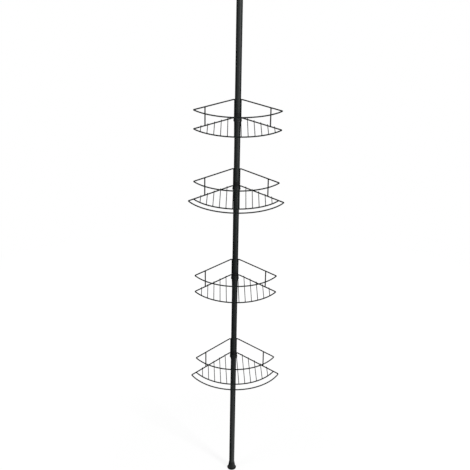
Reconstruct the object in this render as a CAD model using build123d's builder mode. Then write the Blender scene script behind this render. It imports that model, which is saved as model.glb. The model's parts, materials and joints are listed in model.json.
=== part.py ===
from build123d import *
from math import asin, degrees, radians, sqrt, tan
import os

os.makedirs("parts", exist_ok=True)

# Tension-pole corner shower caddy: a tube pole braced between floor and ceiling, with four wire
# corner baskets that wedge on the pole at any height and turn about it.
# Millimetres, +Z up. The origin is on the floor, on the pole's axis. The baskets open towards -Y,
# and the room's corner lies on the +Y side. Basket 1 is the lowest.

# ---- Driving dimensions: the pole
pole_diameter = 22.0
tube_wall = 0.8
tube_edge = 0.3  # broken off the outer edge of every tube's ends
tube_length = 506.0  # one outer tube
tube_count = 4
joiner_length = 80.0
joiner_wall = 1.2
post_extension = 364.0  # of the ceiling tube, out of the top outer tube
push_clearance = 0.05  # radial, between pieces that are pushed together and stay
slide_clearance = 0.08  # radial, between pieces that run on each other
stop_gap = 0.2  # between a moving shoulder and its stop

# ---- Driving dimensions: the two ends
pad_inset = 0.6  # the pad's edge inside the cup's
pad_thickness = 2.0
pad_groove_depth = 0.6
pad_groove_width = 1.2
pad_groove_radius = 7.0  # the innermost groove
pad_groove_pitch = 5.0
pad_groove_count = 2
cup_flange = 3.25  # how far the flange stands out past the cone
cup_flange_thickness = 2.0
cup_floor = 4.0
cup_height = 31.0
cup_cone_wall = 4.75  # at the flange
cup_mouth_wall = 0.6
cup_edge_radius = 0.8
cup_root_radius = 1.5

# ---- Driving dimensions: the ceiling spring
bush_head_height = 8.0
bush_head_wall = 1.2
bush_liner_wall = 0.57
bush_length = 40.0  # inside the tube
plunger_thickness = 15.0
plunger_spigot_length = 25.0
seat_thickness = 15.0
spring_length = 110.0
spring_turns = 20
spring_wire = 1.6
spring_diameter = 15.0  # to the middle of the wire
spring_spigot_clearance = 0.7
spring_spigot_length = 10.0

# ---- Driving dimensions: a basket's wires
rail_wire = 4.6  # over its coating
floor_wire = 2.8
back_bar_length = 32.2  # behind the pole, to where the side lines start
side_length = 214.0  # along a side line, from where both would meet to the tip
front_bulge = 83.5  # how far the front curves out past the line between the tips
towel_overrun = 25.0  # how much further the sides run under a towel rail
towel_extra_bulge = 18.0
wire_bend = 5.0  # every bend, to the middle of the wire
rail_spacing = 67.0  # floor rail to top rail
post_inset = 54.0  # along a side line, from the tip to the upright between the rails
strut_inset = 0.5  # from a bend of the bar behind the pole to the upright beside it
floor_wire_pitch = 23.0
floor_tip_clearance = 15.0  # at least this from a tip to the outermost floor wire
wire_end_overhang = 1.0
weld_gap = 0.02
saddle_setback = 1.0  # from a wire's middle to the end of the wire that is welded to its side

# ---- Driving dimensions: the wedge that holds a basket
seat_angle = 5.5  # degrees, of the cone to the pole
collar_wall = 1.0
collar_rise = 9.0  # above the floor rail's plane
collar_drop = 5.8
sleeve_rise = 26.0
sleeve_drop = 7.0
sleeve_top_wall = 1.22
sleeve_neck_step = 0.15
sleeve_taper = 0.4
sleeve_split = 0.8
sleeve_edge = 0.5
grip_groove_depth = 0.4
grip_groove_height = 3.0
grip_groove_count = 4

# ---- Driving dimensions: each basket's floor rail, down from the top of the outer tubes
basket_1_depth = 1455.0
basket_2_depth = 1097.0
basket_3_depth = 726.0
basket_4_depth = 466.0

# ---- The baskets, from the lowest up: depth, heading about the pole in degrees, towel rail or not
baskets = [
    {"number": 1, "depth": basket_1_depth, "heading": 3.0, "towel_rail": True},
    {"number": 2, "depth": basket_2_depth, "heading": 1.4, "towel_rail": False},
    {"number": 3, "depth": basket_3_depth, "heading": -0.2, "towel_rail": True},
    {"number": 4, "depth": basket_4_depth, "heading": 0.4, "towel_rail": False},
]

# ---- Worked out: the pole, from the floor up
pole_radius = pole_diameter / 2
tube_bore = pole_radius - tube_wall
liner_radius = tube_bore - push_clearance
bush_bore = liner_radius - bush_liner_wall
post_radius = bush_bore - slide_clearance
post_bore = post_radius - tube_wall
tube_start = pad_thickness + cup_floor
tube_top = tube_start + tube_count * tube_length
post_top = tube_top + post_extension
ceiling = post_top + cup_floor + pad_thickness
bush_end = tube_top - bush_length
plunger_top = bush_end - stop_gap
plunger_end = plunger_top - plunger_thickness
spring_end = plunger_end - spring_length
spigot_radius = (spring_diameter - spring_wire) / 2 - spring_spigot_clearance
cone_radius = pole_radius + cup_cone_wall
cup_radius = cone_radius + cup_flange
pad_radius = cup_radius - pad_inset

# ---- Worked out: the wedge, from the pole outwards, as radii in the floor rail's plane
seat_slope = tan(radians(seat_angle))
sleeve_bore = pole_radius + slide_clearance
neck_radius = sleeve_bore + sleeve_top_wall + sleeve_taper  # at the neck's foot
shoulder_radius = neck_radius + sleeve_neck_step
sleeve_cone = shoulder_radius + collar_rise * seat_slope
seat_radius = sleeve_cone + slide_clearance
collar_radius = seat_radius + collar_wall

# ---- Worked out: the wires. The bar behind the pole rests against the collar.
rail_radius = rail_wire / 2
floor_radius = floor_wire / 2
bar_setback = collar_radius + rail_radius
apex_setback = bar_setback + back_bar_length / 2
floor_wire_height = rail_radius + floor_radius
diagonal = sqrt(0.5)  # the side lines run at 45 degrees to either side
bend_reach = wire_bend * tan(radians(45 / 2))  # of a bend between the bar and a side line
strut_x = back_bar_length / 2 - bend_reach - strut_inset - rail_radius
post_x = (side_length - post_inset) * diagonal
post_y = apex_setback - post_x


def save(piece, name):
    """Labels a finished piece and writes it."""
    piece.label = name
    export_step(piece, f"parts/{name}.step")


def tube(bottom, top, outside, bore):
    """A round tube on the pole's axis, with the outer edges of its ends broken."""
    with BuildPart() as piece:
        with BuildSketch(Plane.XY.offset(bottom)):
            Circle(outside)
            Circle(bore, mode=Mode.SUBTRACT)
        extrude(amount=top - bottom)
        ends = piece.edges().filter_by(GeomType.CIRCLE).sort_by(SortBy.RADIUS)[-2:]
        chamfer(ends, length=tube_edge)
    return piece.part


def turned(points):
    """A solid of revolution about the pole's axis, from its half section as (radius, height)."""
    with BuildPart() as piece:
        with BuildSketch(Plane.XZ):
            with BuildLine():
                Polyline(*points, close=True)
            make_face()
        revolve(axis=Axis.Z)
    return piece.part


# ---- Foot and ceiling ends: a soft pad under a plastic cup, the same moulding at both ends.
# `face` is the height of the bearing face and `inward` is +1 at the floor and -1 at the ceiling.


def bearing_pad(face, inward):
    """Round non-slip pad with grip grooves in its bearing face."""
    with BuildPart() as pad:
        with BuildSketch(Plane.XY.offset(face)):
            Circle(pad_radius)
        extrude(amount=inward * pad_thickness)
        with BuildSketch(Plane.XY.offset(face)):
            for index in range(pad_groove_count):
                radius = pad_groove_radius + index * pad_groove_pitch
                Circle(radius + pad_groove_width)
                Circle(radius, mode=Mode.SUBTRACT)
        extrude(amount=inward * pad_groove_depth, mode=Mode.SUBTRACT)
    return pad.part


def end_cup(face, inward, tube_radius):
    """Flanged cup whose conical boss takes the end of a tube."""
    rim = face + inward * pad_thickness
    flange = rim + inward * cup_flange_thickness
    mouth = rim + inward * cup_height
    floor = rim + inward * cup_floor
    bore = tube_radius + push_clearance
    mouth_radius = pole_radius + push_clearance + cup_mouth_wall
    with BuildPart() as cup:
        with BuildSketch(Plane.XZ) as section:
            with BuildLine():
                Polyline(
                    (0, rim),
                    (cup_radius, rim),
                    (cup_radius, flange),
                    (cone_radius, flange),
                    (mouth_radius, mouth),
                    (bore, mouth),
                    (bore, floor),
                    (0, floor),
                    close=True,
                )
            make_face()
            edge = section.vertices().sort_by_distance((cup_radius, flange))[0]
            root = section.vertices().sort_by_distance((cone_radius, flange))[0]
            fillet(edge, radius=cup_edge_radius)
            fillet(root, radius=cup_root_radius)
        revolve(axis=Axis.Z)
    return cup.part


save(bearing_pad(0, 1), "foot_pad")
save(end_cup(0, 1, pole_radius), "foot_cup")
save(bearing_pad(ceiling, -1), "ceiling_pad")
save(end_cup(ceiling, -1, post_radius), "ceiling_cup")

# ---- Outer tubes, butted end to end on internal joiners
for index in range(tube_count):
    bottom = tube_start + index * tube_length
    save(tube(bottom, bottom + tube_length, pole_radius, tube_bore), f"pole_tube_{index + 1}")

for index in range(1, tube_count):
    low = tube_start + index * tube_length - joiner_length / 2
    save(tube(low, low + joiner_length, liner_radius, liner_radius - joiner_wall), f"pole_joiner_{index}")

# ---- Ceiling post: a thinner tube that a hidden spring pushes up out of the top outer tube
save(tube(plunger_top, post_top, post_radius, post_bore), "ceiling_tube")

# Guide bush: its head caps the outer tube, its liner guides the post and stops the plunger.
bush_head_radius = pole_radius + bush_head_wall
bush_section = [
    (bush_bore, bush_end),
    (liner_radius, bush_end),
    (liner_radius, tube_top),
    (bush_head_radius, tube_top),
    (bush_head_radius, tube_top + bush_head_height - bush_head_wall),
    (pole_radius, tube_top + bush_head_height),
    (bush_bore, tube_top + bush_head_height),
]
save(turned(bush_section), "tube_bush")

# Plunger: pushed into the post's lower end, it carries the spring and cannot pass the bush.
plunger_radius = tube_bore - slide_clearance
plunger_spigot_radius = post_bore - push_clearance
plunger_section = [
    (0, plunger_end - spring_spigot_length),
    (spigot_radius, plunger_end - spring_spigot_length),
    (spigot_radius, plunger_end),
    (plunger_radius, plunger_end),
    (plunger_radius, plunger_top),
    (plunger_spigot_radius, plunger_top),
    (plunger_spigot_radius, plunger_top + plunger_spigot_length),
    (0, plunger_top + plunger_spigot_length),
]
save(turned(plunger_section), "spring_plunger")

# Spring seat: a plug pressed into the top outer tube.
seat_section = [
    (0, spring_end - seat_thickness),
    (liner_radius, spring_end - seat_thickness),
    (liner_radius, spring_end),
    (spigot_radius, spring_end),
    (spigot_radius, spring_end + spring_spigot_length),
    (0, spring_end + spring_spigot_length),
]
save(turned(seat_section), "spring_seat")

# Compression spring between the seat and the plunger.
coil_height = spring_length - spring_wire
with BuildPart() as spring:
    with BuildLine(Plane.XY.offset(spring_end + spring_wire / 2)) as coil:
        Helix(pitch=coil_height / spring_turns, height=coil_height, radius=spring_diameter / 2)
    with BuildSketch(Plane(origin=coil.line @ 0, z_dir=coil.line % 0)):
        Circle(spring_wire / 2)
    sweep(is_frenet=True)
save(spring.part, "ceiling_spring")


# ---- Basket wires, drawn in the basket's own plane: X to the right, -Y out of the corner.


def tip(side):
    """Where a side line of this length ends, before its bend."""
    return side * diagonal, apex_setback - side * diagonal


def front_arc(side, bulge):
    """Radius and centre, on the basket's middle line, of the front between two tips."""
    half_width, tip_y = tip(side)
    radius = (half_width**2 + bulge**2) / (2 * bulge)
    return radius, tip_y - bulge + radius


def wire_loop(plane, side, bulge):
    """Closed rail of one bent wire: a short bar behind the pole, two sides and a curved front."""
    half_width, tip_y = tip(side)
    back = bar_setback
    half_bar = back_bar_length / 2
    with BuildPart() as rail:
        with BuildLine(plane) as path:
            Line((-half_bar, back), (half_bar, back))
            Line((half_bar, back), (half_width, tip_y))
            ThreePointArc((half_width, tip_y), (0, tip_y - bulge), (-half_width, tip_y))
            Line((-half_width, tip_y), (-half_bar, back))
            fillet(path.vertices(), radius=wire_bend)
        centreline = path.wire()
        with BuildSketch(Plane(origin=centreline @ 0, z_dir=centreline % 0)):
            Circle(rail_radius)
        sweep(path=centreline)
    return rail.part


def cope(x, y, height, direction):
    """Cuts the hollow in which a wire's end meets a rail that runs in this direction, in degrees."""
    with Locations(Location((x, y, height), (0, 0, direction))):
        Cylinder(
            rail_radius + weld_gap,
            4 * rail_wire,  # well past the end that it hollows
            rotation=(0, 90, 0),
            mode=Mode.SUBTRACT,
        )


def front_wire(plane, side, bulge):
    """Curved wire between the two sides, which ends the floor behind a towel rail."""
    half_width, tip_y = tip(side)
    radius, centre_y = front_arc(side, bulge)
    half_angle = degrees(asin(half_width / radius) - saddle_setback / radius)
    with BuildPart(plane) as wire:
        with BuildLine(plane) as path:
            CenterArc((0, centre_y), radius, -90 - half_angle, 2 * half_angle)
        with BuildSketch(Plane(origin=path.line @ 0, z_dir=path.line % 0)):
            Circle(rail_radius)
        sweep()
        cope(half_width, tip_y, 0, -45)
        cope(-half_width, tip_y, 0, 45)
    return wire.part


def uprights(plane, x, y, direction):
    """Pair of uprights between the two rails, which run in this direction at the right-hand one."""
    with BuildPart(plane) as pair:
        with Locations((x, y, rail_spacing / 2), (-x, y, rail_spacing / 2)):
            Cylinder(rail_radius, rail_spacing - 2 * saddle_setback)
        for height in (0, rail_spacing):
            cope(x, y, height, direction)
            cope(-x, y, height, -direction)
    return pair.part


def floor_wires(plane):
    """Parallel wires laid on the floor rail, from the sides or the collar to the curved front."""
    half_width, tip_y = tip(side_length)
    radius, centre_y = front_arc(side_length, front_bulge)
    half_count = round((half_width - floor_tip_clearance) / floor_wire_pitch)
    collar_top = collar_radius - collar_rise * seat_slope
    collar_foot = collar_radius + collar_drop * seat_slope
    with BuildPart(plane) as wires:
        for index in range(-half_count, half_count):
            x = (index + 0.5) * floor_wire_pitch
            front = centre_y - sqrt(radius**2 - x**2) - wire_end_overhang
            back = min(apex_setback - abs(x), bar_setback) + wire_end_overhang
            if abs(x) < collar_foot + floor_wire:
                back = 0
            with Locations((x, front, floor_wire_height)):
                Cylinder(
                    floor_radius,
                    back - front,
                    rotation=(-90, 0, 0),
                    align=(Align.CENTER, Align.CENTER, Align.MIN),
                )
        with Locations((0, 0, -collar_drop)):
            Cone(
                collar_foot + weld_gap,
                collar_top + weld_gap,
                collar_drop + collar_rise,
                align=(Align.CENTER, Align.CENTER, Align.MIN),
                mode=Mode.SUBTRACT,
            )
        with Locations((post_x, post_y, 0), (-post_x, post_y, 0)):
            Cylinder(rail_radius + weld_gap, rail_spacing, mode=Mode.SUBTRACT)
    return wires.part


# ---- The wedge: a steel collar on the basket's corner, and the split plastic sleeve inside it


def pole_collar(height):
    """Conical steel ring, wider below, which is lowered over the sleeve."""
    low = height - collar_drop
    high = height + collar_rise
    widening = collar_drop * seat_slope
    narrowing = collar_rise * seat_slope
    return turned([
        (seat_radius + widening, low),
        (collar_radius + widening, low),
        (collar_radius - narrowing, high),
        (seat_radius - narrowing, high),
    ])


def clamp_sleeve(height, heading):
    """Two plastic half shells that close around the pole and are wedged by the collar."""
    low = height - sleeve_drop
    shoulder = height + collar_rise
    high = height + sleeve_rise
    top_radius = sleeve_bore + sleeve_top_wall
    groove_pitch = (high - low) / (grip_groove_count + 1)
    with BuildPart() as sleeve:
        with BuildSketch(Plane.XZ):
            with BuildLine():
                Polyline(
                    (sleeve_bore, low),
                    (sleeve_cone + sleeve_drop * seat_slope, low),
                    (shoulder_radius, shoulder),
                    (neck_radius, shoulder),
                    (top_radius, high - sleeve_edge),
                    (top_radius - sleeve_edge, high),
                    (sleeve_bore, high),
                    close=True,
                )
            make_face()
        revolve(axis=Axis.Z)
        for index in range(grip_groove_count):
            with Locations((0, 0, low + (index + 1) * groove_pitch)):
                Cylinder(sleeve_bore + grip_groove_depth, grip_groove_height, mode=Mode.SUBTRACT)
        with Locations(Location((0, 0, low), (0, 0, heading))):
            Box(
                2 * cone_radius,
                sleeve_split,
                2 * (high - low),
                mode=Mode.SUBTRACT,
            )
    return sleeve.part


# ---- Four baskets
for basket in baskets:
    name = f"basket_{basket['number']}"
    height = tube_top - basket["depth"]
    floor_plane = Plane(Location((0, 0, height), (0, 0, basket["heading"])))
    top_plane = floor_plane.offset(rail_spacing)

    save(wire_loop(top_plane, side_length, front_bulge), f"{name}_top_rail")
    if basket["towel_rail"]:
        towel_side = side_length + towel_overrun
        towel_bulge = front_bulge + towel_extra_bulge
        save(wire_loop(floor_plane, towel_side, towel_bulge), f"{name}_towel_rail")
        save(front_wire(floor_plane, side_length, front_bulge), f"{name}_floor_front")
    else:
        save(wire_loop(floor_plane, side_length, front_bulge), f"{name}_floor_rail")
    save(floor_wires(floor_plane), f"{name}_floor_wires")
    save(uprights(floor_plane, post_x, post_y, -45), f"{name}_side_posts")
    save(uprights(floor_plane, strut_x, bar_setback, 0), f"{name}_corner_struts")
    save(pole_collar(height), f"{name}_collar")
    save(clamp_sleeve(height, basket["heading"]), f"{name}_clamp_sleeve")
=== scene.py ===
"""The looks of a tension-pole corner shower caddy: finishes, welds, light and camera. Metres, +Z up."""

import json
from math import atan2, pi, radians

import bpy
import numpy as np
from mathutils import Matrix, Vector

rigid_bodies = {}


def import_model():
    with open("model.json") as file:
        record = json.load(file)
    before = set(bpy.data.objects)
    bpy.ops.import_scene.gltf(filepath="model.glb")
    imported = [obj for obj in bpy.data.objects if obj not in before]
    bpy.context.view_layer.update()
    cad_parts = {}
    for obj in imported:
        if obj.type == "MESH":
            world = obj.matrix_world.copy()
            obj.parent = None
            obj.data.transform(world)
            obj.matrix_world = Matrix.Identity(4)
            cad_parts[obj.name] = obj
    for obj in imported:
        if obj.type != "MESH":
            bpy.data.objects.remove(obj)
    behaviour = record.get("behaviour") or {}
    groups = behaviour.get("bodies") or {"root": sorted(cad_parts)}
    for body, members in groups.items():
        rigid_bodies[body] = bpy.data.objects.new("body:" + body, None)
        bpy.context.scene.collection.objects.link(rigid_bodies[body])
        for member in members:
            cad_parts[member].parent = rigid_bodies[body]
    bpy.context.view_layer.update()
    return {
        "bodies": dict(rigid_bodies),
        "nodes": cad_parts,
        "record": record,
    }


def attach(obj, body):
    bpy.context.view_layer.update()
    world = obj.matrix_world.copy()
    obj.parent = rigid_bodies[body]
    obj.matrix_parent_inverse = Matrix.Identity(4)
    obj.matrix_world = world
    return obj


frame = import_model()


# ---- Bearing pads
# Soft black rubber discs under the foot and over the ceiling end. They are die-cut from grooved
# sheet and glued into the rims of the cups, and they pick up a little pale dust.

rubber_black = (0.018, 0.019, 0.019)
rubber_dusty = (0.09, 0.088, 0.084)
rubber_grain = 0.0006
rubber_grain_depth = 0.00008
dust_patch = 0.011


class Signal:
    """The value of a shader socket. Arithmetic on it adds the Math nodes that work it out."""

    def __init__(self, finish, socket):
        self.finish = finish
        self.socket = socket

    def maths(self, operation, *values):
        return self.finish.node("ShaderNodeMath", {"operation": operation}, dict(enumerate(values)))["Value"]

    def __add__(self, other):
        return self.maths("ADD", self, other)

    def __sub__(self, other):
        return self.maths("SUBTRACT", self, other)

    def __rsub__(self, other):
        return self.maths("SUBTRACT", other, self)

    def __mul__(self, other):
        return self.maths("MULTIPLY", self, other)

    def __abs__(self):
        return self.maths("ABSOLUTE", self)

    __radd__ = __add__
    __rmul__ = __mul__


class Finish:
    """The nodes of a material or of the surround, built up one by one."""

    def __init__(self, owner):
        owner.use_nodes = True
        self.owner = owner
        self.tree = owner.node_tree
        self.tree.nodes.clear()

    def node(self, kind, settings=None, sockets=None):
        """Adds a node, makes its settings, fills its sockets and returns its outputs by name."""
        added = self.tree.nodes.new(kind)
        for key, value in (settings or {}).items():
            setattr(added, key, value)
        usable = {socket.name: socket for socket in added.inputs if socket.enabled}
        for key, value in (sockets or {}).items():
            socket = added.inputs[key] if isinstance(key, int) else usable[key]
            if isinstance(value, Signal):
                self.tree.links.new(value.socket, socket)
            else:
                socket.default_value = value
        return {output.name: Signal(self, output) for output in added.outputs if output.enabled}

    def place(self):
        """The point of the surface in metres on the piece's own axes."""
        return self.node("ShaderNodeTexCoord")["Object"]

    def noise(self, lump, detail=2.0, across=(1, 1, 1)):
        """Smooth noise from 0 to 1 whose lumps are this size in metres, or more where `across` is less."""
        fine = tuple(share / lump for share in across)
        point = self.node("ShaderNodeMapping", {}, {"Vector": self.place(), "Scale": fine})["Vector"]
        return self.node("ShaderNodeTexNoise", {}, {"Vector": point, "Scale": 1.0, "Detail": detail})["Fac"]

    def ramp(self, value, start, end):
        """0 up to `start`, 1 from `end` on and a straight slope between them."""
        sockets = {"Value": value, "From Min": start, "From Max": end}
        return self.node("ShaderNodeMapRange", {"clamp": True}, sockets)["Result"]

    def blend(self, mask, low, high):
        """The colour `low` where the mask is 0 and `high` where it is 1."""
        colours = {"Factor": mask, "A": (*low, 1), "B": (*high, 1)}
        return self.node("ShaderNodeMix", {"data_type": "RGBA"}, colours)["Result"]

    def relief(self, height, depth):
        """A normal bumped by a height signal; depth is what a height of 1 stands for, in metres."""
        return self.node("ShaderNodeBump", {}, {"Height": height, "Distance": depth})["Normal"]

    def surface(self, sockets):
        """Closes the material with its Principled surface."""
        shader = self.node("ShaderNodeBsdfPrincipled", {}, sockets)["BSDF"]
        self.node("ShaderNodeOutputMaterial", {}, {"Surface": shader})
        return self.owner


def soft_rubber():
    """Matt moulded rubber: a fine grain, with paler dust in soft patches."""
    rubber = Finish(bpy.data.materials.new("soft_rubber"))
    grain = rubber.noise(rubber_grain)
    dust = rubber.ramp(rubber.noise(dust_patch, detail=4), 0.5, 0.8)
    return rubber.surface({
        "Base Color": rubber.blend(dust * 0.4, rubber_black, rubber_dusty),
        "Roughness": grain * 0.1 + 0.8,
        "Specular IOR Level": 0.35,
        "Normal": rubber.relief(grain, rubber_grain_depth),
    })


def dress(material, *nodes):
    """Gives CAD nodes their finish."""
    for node in nodes:
        mesh = frame["nodes"][node].data
        mesh.materials.clear()
        mesh.materials.append(material)


dress(soft_rubber(), "foot_pad", "ceiling_pad")


# ---- Cups
# Flanged cones of black nylon, injection moulded in two halves of a tool, so that they have a
# spark-eroded grain and two faint parting lines. A tube is pushed into each.

nylon_black = (0.005, 0.006, 0.006)
nylon_worn = (0.0115, 0.013, 0.0128)
nylon_flow_mark = 0.014
nylon_grain_depth = 0.0001
seam_edge = 0.0002  # from the middle of the parting line to where it ends
seam_crest = 0.00005  # half of its flat top


def moulded_nylon(name, grain_size):
    """Matt black plastic: an eroded grain, cloudy flow marks and a soft shine where it is rubbed."""
    nylon = Finish(bpy.data.materials.new(name))
    grain = nylon.noise(grain_size, detail=3)
    flow = nylon.noise(nylon_flow_mark, detail=3, across=(1, 1, 0.35))
    rubbed = nylon.ramp(flow, 0.45, 0.75)
    across = nylon.node("ShaderNodeSeparateXYZ", {}, {"Vector": nylon.place()})["X"]
    seam = 1 - nylon.ramp(abs(across), seam_crest, seam_edge)
    return nylon.surface({
        "Base Color": nylon.blend(rubbed, nylon_black, nylon_worn),
        "Roughness": 0.58 - rubbed * 0.1 + grain * 0.06,
        "Specular IOR Level": 0.24,
        "Normal": nylon.relief(grain * 0.5 + seam, nylon_grain_depth),
    })


dress(moulded_nylon("cup_nylon", grain_size=0.0007), "foot_cup", "ceiling_cup")


# ---- Outer tubes
# Four thin-walled steel tubes butted end to end on inner joiners. Each is powder coated matt black
# and baked, which leaves a fine orange peel; sliding sleeves have polished faint lines along it.

coat_black = (0.0065, 0.0092, 0.0087)
coat_pale = (0.0125, 0.017, 0.0162)
coat_cloud = 0.05
rubbed_line_width = 0.0011
tube_peel = 0.0016
tube_gloss = 0.42
peel_depth = 0.00006


def powder_coat(name, peel_size, gloss, rubbed_lines):
    """Baked matt powder: orange peel, faint clouds and, where it is rubbed lengthways, fine lines."""
    coat = Finish(bpy.data.materials.new(name))
    peel = coat.noise(peel_size)
    cloud = coat.ramp(coat.noise(coat_cloud, detail=4), 0.35, 0.7)
    lines = coat.ramp(coat.noise(rubbed_line_width, across=(1, 1, 0.012)), 0.62, 0.8)
    shine = lines * rubbed_lines
    return coat.surface({
        "Base Color": coat.blend(cloud * 0.45 + shine * 0.4, coat_black, coat_pale),
        "Roughness": 0.46 + cloud * 0.07 - shine * 0.12,
        "Specular IOR Level": gloss,
        "Normal": coat.relief(peel, peel_depth),
    })


tube_coat = powder_coat("tube_powder_coat", tube_peel, tube_gloss, rubbed_lines=1.0)
tubes = sorted(node for node in frame["nodes"] if node.startswith("pole_tube_"))
dress(tube_coat, *tubes)


# ---- Joiners
# Short sleeves of bright zinc-plated steel tube inside the butted ends, half in each tube.
# Drawing has left fine lines along them.

zinc = (0.58, 0.6, 0.62)
cloudy_share = 0.72  # of the plating's brightness that is left in a cloudy patch
drawing_line_width = 0.0005
drawing_line_depth = 0.00002


def plated_steel(name, tone, spangle):
    """Plated steel with drawing lines along it and cloudy patches."""
    steel = Finish(bpy.data.materials.new(name))
    lines = steel.noise(drawing_line_width, detail=3, across=(1, 1, 0.02))
    patches = steel.ramp(steel.noise(spangle, detail=3), 0.35, 0.7)
    cloudy = tuple(channel * cloudy_share for channel in tone)
    return steel.surface({
        "Base Color": steel.blend(patches, cloudy, tone),
        "Metallic": 1.0,
        "Roughness": 0.26 + lines * 0.16,
        "Normal": steel.relief(lines, drawing_line_depth),
    })


joiners = sorted(node for node in frame["nodes"] if node.startswith("pole_joiner_"))
dress(plated_steel("zinc_plate", zinc, spangle=0.006), *joiners)


# ---- Ceiling spring, its seat and its plunger
# An oiled spring of hard-drawn wire. It stands on a nylon plug pressed into the top outer tube and
# pushes up a second plug, the plunger, which carries the ceiling tube.

oiled_steel = (0.4, 0.4, 0.39)

dress(plated_steel("spring_wire", oiled_steel, spangle=0.02), "ceiling_spring")
plug_nylon = moulded_nylon("plug_nylon", grain_size=0.0009)
dress(plug_nylon, "spring_seat", "spring_plunger")


# ---- Guide bush and ceiling tube
# The nylon bush is pushed into the mouth of the top outer tube. The thinner ceiling tube, coated
# like the others, runs in it and ends in the ceiling cup.

dress(moulded_nylon("bush_nylon", grain_size=0.0007), "tube_bush")
dress(powder_coat("post_powder_coat", tube_peel, tube_gloss, rubbed_lines=1.0), "ceiling_tube")


# ---- Basket wires and collars
# Every basket is cold-bent from steel wire: two closed rails, uprights and floor wires, resistance
# welded to each other and to the corner's conical collar, and powder coated in one piece. On thin
# wires the powder bakes duller than on the collar.

basket_peel = 0.0011
wire_gloss = 0.1

wire_coat = powder_coat("wire_powder_coat", basket_peel, wire_gloss, rubbed_lines=0.0)
collar_coat = powder_coat("collar_powder_coat", basket_peel, tube_gloss, rubbed_lines=0.0)
baskets = sorted(body for body in frame["bodies"] if body.startswith("basket_"))
members = frame["record"]["behaviour"]["bodies"]
for basket in baskets:
    dress(wire_coat, *members[basket])
    dress(collar_coat, f"{basket}_collar")


# ---- Basket welds
# Every crossing of a floor wire and a rail is pressed together under an electrode, which leaves a
# low nugget. The ends of the uprights, and of the floor's front wire behind a towel rail, get a
# small rippled bead, and each closed rail has a butt weld in the bar behind the pole.

side_length = 0.214  # along a side line, from where both would meet to the tip
floor_wire_pitch = 0.023
wire_end_overhang = 0.001

crossing_nugget = (0.0021, 0.0021, 0.0012)
collar_nugget = (0.0021, 0.0017, 0.0019)
bar_nugget = (0.0045, 0.0016, 0.0018)  # where the bar behind the pole touches the collar
butt_length = 0.0026
butt_height = 0.0004  # proud of the wire
butt_offset = 0.006  # of the butt weld from the middle of the bar
nugget_cut = 0.97  # of the way from its middle to each pole, where a nugget ends in a small flat
bead_radius = 0.0007
bead_reach = 0.96  # of the wire's radius, out to the bead's middle line
bead_ripples = 26
bead_ripple = 0.1  # of the bead's radius, up and down
diagonal = 0.5**0.5  # how much of each axis the side lines run along


def own_points(node, heading):
    """A CAD node's corners on the axes of a basket that is turned by `heading` about the pole."""
    piece = frame["nodes"][node]
    flat = np.empty(3 * len(piece.data.vertices))
    piece.data.vertices.foreach_get("co", flat)
    to_own = np.array(Matrix.Rotation(-heading, 4, "Z") @ piece.matrix_world)
    return flat.reshape(-1, 3) @ to_own[:3, :3].T + to_own[:3, 3]


def middle(points):
    """The middle of the box round some points."""
    return (points.min(axis=0) + points.max(axis=0)) / 2


def nugget(centre, radii, rings=9, segments=20):
    """Ellipsoid: centre + radii * (cos a cos b, cos a sin b, sin a), with a small flat at each pole."""
    a = np.linspace(-nugget_cut, nugget_cut, rings)[:, None] * pi / 2
    b = np.linspace(0, 2 * pi, segments, endpoint=False)[None, :]
    unit = np.stack((np.cos(a) * np.cos(b), np.cos(a) * np.sin(b), np.sin(a) + 0 * b), axis=-1)
    return np.array(centre) + np.array(radii) * unit, False


def saddle_bead(centre, axis, along, radius, segments=78, sides=8):
    """Bead round a wire that ends on the side of a rail of the same radius r. Its middle line is
    R cos t along the rail, R sin t across it and sqrt(r^2 - R^2 sin^2 t) up the wire's axis."""
    reach = bead_reach * radius
    axis = np.array(axis)
    along = np.array(along)
    t = np.linspace(0, 2 * pi, segments, endpoint=False)[:, None]
    lift = np.sqrt(radius**2 - (reach * np.sin(t)) ** 2)
    outward = np.cos(t) * along + np.sin(t) * np.cross(along, axis)
    line = np.array(centre) + reach * outward + lift * axis
    thickness = bead_radius * (1 + bead_ripple * np.cos(bead_ripples * t))
    v = np.linspace(0, 2 * pi, sides, endpoint=False)[None, :, None]
    rim = np.cos(v) * outward[:, None, :] + np.sin(v) * axis
    return line[:, None, :] + thickness[..., None] * rim, True


def added(name, data):
    """A new object that shows this mesh, lamp or camera in the scene."""
    thing = bpy.data.objects.new(name, data)
    bpy.context.scene.collection.objects.link(thing)
    return thing


def joined(name, patches):
    """One mesh object of several grids of points. Columns always close round. Rows close round on a
    bead; on a nugget the first and the last row are each filled with a small polygon."""
    corners = []
    faces = []
    for points, closes in patches:
        rows, columns = points.shape[:2]
        start = len(corners)
        corners.extend(points.reshape(-1, 3).tolist())
        row = np.arange(rows if closes else rows - 1)[:, None]
        column = np.arange(columns)[None, :]
        here = start + row * columns
        above = start + (row + 1) % rows * columns
        beside = (column + 1) % columns
        quads = np.stack((here + column, here + beside, above + beside, above + column), axis=-1)
        faces.extend(quads.reshape(-1, 4).tolist())
        if not closes:
            faces.append(tuple(range(start + columns - 1, start - 1, -1)))
            faces.append(tuple(range(start + (rows - 1) * columns, start + rows * columns)))
    mesh = bpy.data.meshes.new(name)
    mesh.from_pydata(corners, [], faces)
    mesh.shade_smooth()
    return added(name, mesh)


def closing_welds(bar_y, low, top, radius):
    """Where the bar behind the pole lies on the collar, and the butt weld of each closed rail."""
    swelling = (butt_length / 2, radius + butt_height, radius + butt_height)
    butts = [nugget((butt_offset, bar_y, height), swelling) for height in (low, top)]
    return [nugget((0, bar_y - radius, low), bar_nugget), *butts]


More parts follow.
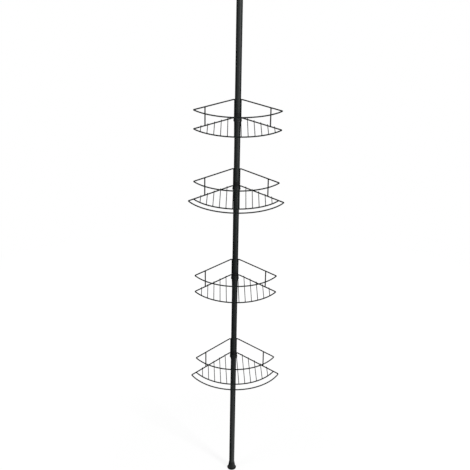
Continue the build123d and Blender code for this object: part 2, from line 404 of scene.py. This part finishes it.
def crossing_nuggets(basket, heading):
    """Under both ends of every floor wire, or at its back end on the collar if it reaches that."""
    collar_reach = own_points(f"{basket}_collar", heading)[:, 0].max()
    wires = own_points(f"{basket}_floor_wires", heading)
    places = np.floor(wires[:, 0] / floor_wire_pitch)  # each wire has a place of its own
    nuggets = []
    for place in np.unique(places):
        wire = wires[places == place]
        x, _, z = middle(wire)
        underside = wire[:, 2].min()
        front = wire[:, 1].min() + wire_end_overhang
        back = wire[:, 1].max()
        nuggets.append(nugget((x, front, underside), crossing_nugget))
        if abs(x) < collar_reach:
            nuggets.append(nugget((x, back, z), collar_nugget))
        else:
            nuggets.append(nugget((x, back - wire_end_overhang, underside), crossing_nugget))
    return nuggets


def right_hand(basket, pair, heading):
    """Where the right-hand one of a pair of uprights stands, across and along the basket."""
    uprights = own_points(f"{basket}_{pair}", heading)
    return middle(uprights[uprights[:, 0] > 0])[:2]


def end_beads(basket, heading, low, top, radius):
    """At both ends of the uprights and, behind a towel rail, of the floor's front wire."""
    sideways = np.array((1, 0, 0))
    slant = np.array((1, -1, 0)) * diagonal  # of the right-hand side line
    mirror = np.array((-1, 1, 1))
    side_post = right_hand(basket, "side_posts", heading)
    strut = right_hand(basket, "corner_struts", heading)
    beads = []
    for (x, y), along in ((side_post, slant), (strut, sideways)):
        for end, axis in ((low, (0, 0, 1)), (top, (0, 0, -1))):
            beads.append(saddle_bead((x, y, end), axis, along, radius))
            beads.append(saddle_bead((-x, y, end), axis, along * mirror, radius))
    if f"{basket}_floor_front" in frame["nodes"]:
        half_width = side_length * diagonal
        tip = np.array((half_width, sum(side_post) - half_width, low))
        inward = np.array((-1, -1, 0)) * diagonal
        beads.append(saddle_bead(tip, inward, slant, radius))
        beads.append(saddle_bead(tip * mirror, inward * mirror, slant * mirror, radius))
    return beads


def basket_welds(basket):
    """Every nugget and bead of one basket, set out on its own axes and turned to its heading."""
    posts = own_points(f"{basket}_side_posts", 0)
    span = middle(posts[posts[:, 0] > 0]) - middle(posts[posts[:, 0] < 0])
    heading = atan2(span[1], span[0])
    behind_towel_rail = f"{basket}_floor_front" in frame["nodes"]
    floor_line = "floor_front" if behind_towel_rail else "floor_rail"
    low = middle(own_points(f"{basket}_{floor_line}", heading))[2]
    top_rail = own_points(f"{basket}_top_rail", heading)
    top = middle(top_rail)[2]
    radius = np.ptp(top_rail[:, 2]) / 2
    patches = closing_welds(top_rail[:, 1].max() - radius, low, top, radius)
    patches += crossing_nuggets(basket, heading)
    patches += end_beads(basket, heading, low, top, radius)
    turn = np.array(Matrix.Rotation(heading, 3, "Z"))
    return joined(f"{basket}_welds", [(points @ turn.T, closes) for points, closes in patches])


for basket in baskets:
    welds = basket_welds(basket)
    welds.data.materials.append(wire_coat)
    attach(welds, basket)


# ---- Clamp sleeves
# Pairs of nylon half shells that close round the pole. The collar's cone wedges them, and their
# grooved inner faces grip the coating.

sleeve_nylon = moulded_nylon("sleeve_nylon", grain_size=0.0006)
for basket in baskets:
    dress(sleeve_nylon, f"{basket}_clamp_sleeve")


# ---- Floor and backdrop
# A plain pale floor that runs on to the horizon. To the camera it glows white, apart from the
# share near the pole that keeps the shadow, and it lights the object as a plain white floor does.

floor_reach = 60.0
floor_sides = 64
floor_white = (0.8, 0.8, 0.8, 1)
floor_share = 0.4  # of the floor's own shading in what the camera sees beside the pole
floor_tone = 0.42  # of that shading where no shadow falls
floor_lift = floor_share * (1 - floor_tone) / (1 - floor_share)  # brings both together to white
shadow_near = 0.5  # from the pole, as far as the whole share shows
shadow_far = 2.5  # where it has faded out


def seen(finish):
    """1 where the camera, a reflection or a see-through piece looks at it, 0 where it gives light."""
    path = finish.node("ShaderNodeLightPath")
    return path["Is Camera Ray"] + path["Is Glossy Ray"] + path["Is Transmission Ray"]


def white_floor():
    """White that shows as white to the camera and in reflections, with a part of its own shading."""
    white = Finish(bpy.data.materials.new("white_floor"))
    away = white.node("ShaderNodeVectorMath", {"operation": "LENGTH"}, {0: white.place()})["Value"]
    near = 1 - white.ramp(away, shadow_near, shadow_far)
    matt = white.node("ShaderNodeBsdfDiffuse", {}, {"Color": floor_white})["BSDF"]
    glow = white.node("ShaderNodeEmission", {}, {"Color": 1 + near * floor_lift})["Emission"]
    mix = {"Fac": seen(white) * (1 - near * floor_share), 1: matt, 2: glow}
    shown = white.node("ShaderNodeMixShader", {}, mix)["Shader"]
    white.node("ShaderNodeOutputMaterial", {}, {"Surface": shown})
    return white.owner


floor_mesh = bpy.data.meshes.new("floor")
ring = np.linspace(0, 2 * pi, floor_sides, endpoint=False)
rim = np.column_stack((floor_reach * np.cos(ring), floor_reach * np.sin(ring), 0 * ring))
floor_mesh.from_pydata(rim.tolist(), [], [list(range(floor_sides))])
floor_mesh.materials.append(white_floor())
added("floor", floor_mesh)


# ---- Studio light
# An even white surround, a tall soft lamp in front on the right that draws the streak down the
# pole and a weaker one high on the left. Of five black flags that only reflections show, three give
# the pole its dark edges, and two low in front darken its middle.

surround_level = 0.3  # of what lights the object; to the camera and in reflections it is white

surround = Finish(bpy.data.worlds.new("surround"))
strength = seen(surround) * (1 - surround_level) + surround_level
even = surround.node("ShaderNodeBackground", {}, {"Color": (1, 1, 1, 1), "Strength": strength})
surround.node("ShaderNodeOutputWorld", {}, {"Surface": even["Background"]})
bpy.context.scene.world = surround.owner

flag_black = Finish(bpy.data.materials.new("flag_black")).surface({"Base Color": (0, 0, 0, 1)})


def soft_lamp(name, place, aim, width, height, power):
    """An oblong area lamp at `place` that points at `aim`."""
    lamp = bpy.data.lights.new(name, "AREA")
    lamp.shape = "RECTANGLE"
    lamp.size = width
    lamp.size_y = height
    lamp.energy = power
    holder = added(name, lamp)
    holder.location = place
    holder.rotation_euler = (Vector(aim) - Vector(place)).to_track_quat("-Z", "Y").to_euler()


def flag(name, corner, first_edge, second_edge):
    """An oblong black board, given by a corner and the two edges that leave it."""
    start = Vector(corner)
    first = start + Vector(first_edge)
    second = start + Vector(second_edge)
    mesh = bpy.data.meshes.new(name)
    mesh.from_pydata([start, first, first + Vector(second_edge), second], [], [(0, 1, 2, 3)])
    mesh.materials.append(flag_black)
    board = added(name, mesh)
    board.visible_camera = False
    board.visible_diffuse = False
    board.visible_shadow = False
    board.visible_transmission = False


soft_lamp("key_lamp", place=(4, -4, 2), aim=(0, 0, 1.2), width=1.25, height=5, power=215)
soft_lamp("fill_lamp", place=(-6, -4, 7), aim=(0, 0, 1.1), width=4, height=4, power=120)

left_corner = (-0.2, -0.15, 0.01)
left_run = (0, 0.95, 0)
rise = (0, 0, 2.6)
flag("left_flag", left_corner, left_run, rise)
flag("left_floor_flag", left_corner, (0.18, 0, 0), left_run)
flag("right_flag", (0.25, -0.08, 0.01), (0, 0.88, 0), rise)

front_corner = (-3, -1.6, 0.01)
front_run = (6, 0, 0)
flag("front_flag", front_corner, front_run, (0, 0, 0.9))
flag("front_floor_flag", front_corner, front_run, (0, 1.1, 0))


# ---- Camera
# Straight in front of the caddy and as high as its top, tilted down on the baskets. The lens cuts
# off the top of the pole and takes in the foot.

camera_place = (0.0, -2.8295, 2.4254)
camera_turn = radians(-0.049)
camera_tilt = radians(24.909)  # below the horizon
camera_roll = radians(0.977)
focal_length = 1.75732  # in sensor widths

camera_data = bpy.data.cameras.new("camera")
camera_data.lens = focal_length * camera_data.sensor_width
camera = added("camera", camera_data)
pointing = Matrix.Rotation(-camera_turn, 4, "Z") @ Matrix.Rotation(pi / 2 - camera_tilt, 4, "X")
camera.matrix_world = Matrix.Translation(camera_place) @ pointing @ Matrix.Rotation(camera_roll, 4, "Z")
bpy.context.scene.camera = camera
bpy.context.scene.view_settings.view_transform = "Standard"
